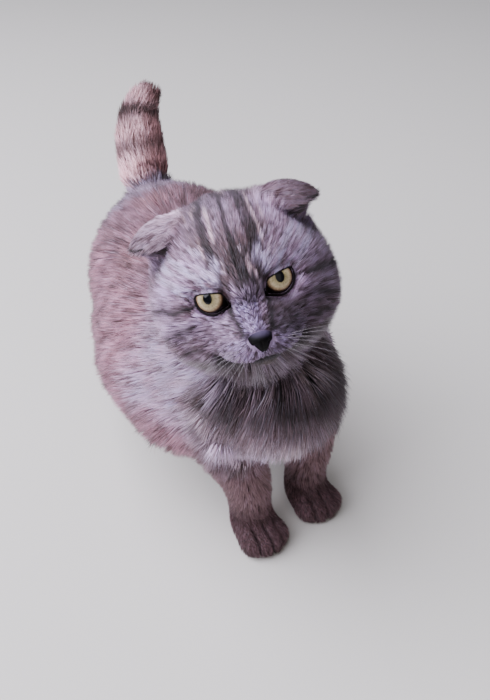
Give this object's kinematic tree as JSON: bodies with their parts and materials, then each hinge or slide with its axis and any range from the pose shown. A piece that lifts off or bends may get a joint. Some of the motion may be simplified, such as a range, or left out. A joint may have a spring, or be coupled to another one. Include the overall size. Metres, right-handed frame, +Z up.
{
  "type": "scottish fold cat figure",
  "caption": "Life-size still model of a standing Scottish fold cat, tail up, head lifted and turned to its right, plush tabby coat.",
  "frame": {"origin": "centre of the bounding box's base, on the floor that the paws stand on", "axes": "+Z up; the body faces -Y; +X is the cat's left side"},
  "size_m": [0.17, 0.331, 0.2978],
  "materials": {
    "coat": "matte plush",
    "nose_skin": "satin, slightly moist",
    "eye": "gloss"
  },
  "bodies": {
    "root": {"head": "coat", "ear_left": "coat", "ear_right": "coat", "eye_left": "eye", "eye_right": "eye", "nose": "nose_skin", "neck": "coat", "chest": "coat", "torso": "coat", "rump": "coat", "upper_arm_left": "coat", "upper_arm_right": "coat", "foreleg_left": "coat", "foreleg_right": "coat", "fore_paw_left": "coat", "fore_paw_right": "coat", "thigh_left": "coat", "thigh_right": "coat", "hind_leg_left": "coat", "hind_leg_right": "coat", "hind_paw_left": "coat", "hind_paw_right": "coat", "tail_base": "coat", "tail_middle": "coat", "tail_tip": "coat"}
  },
  "joints": []
}
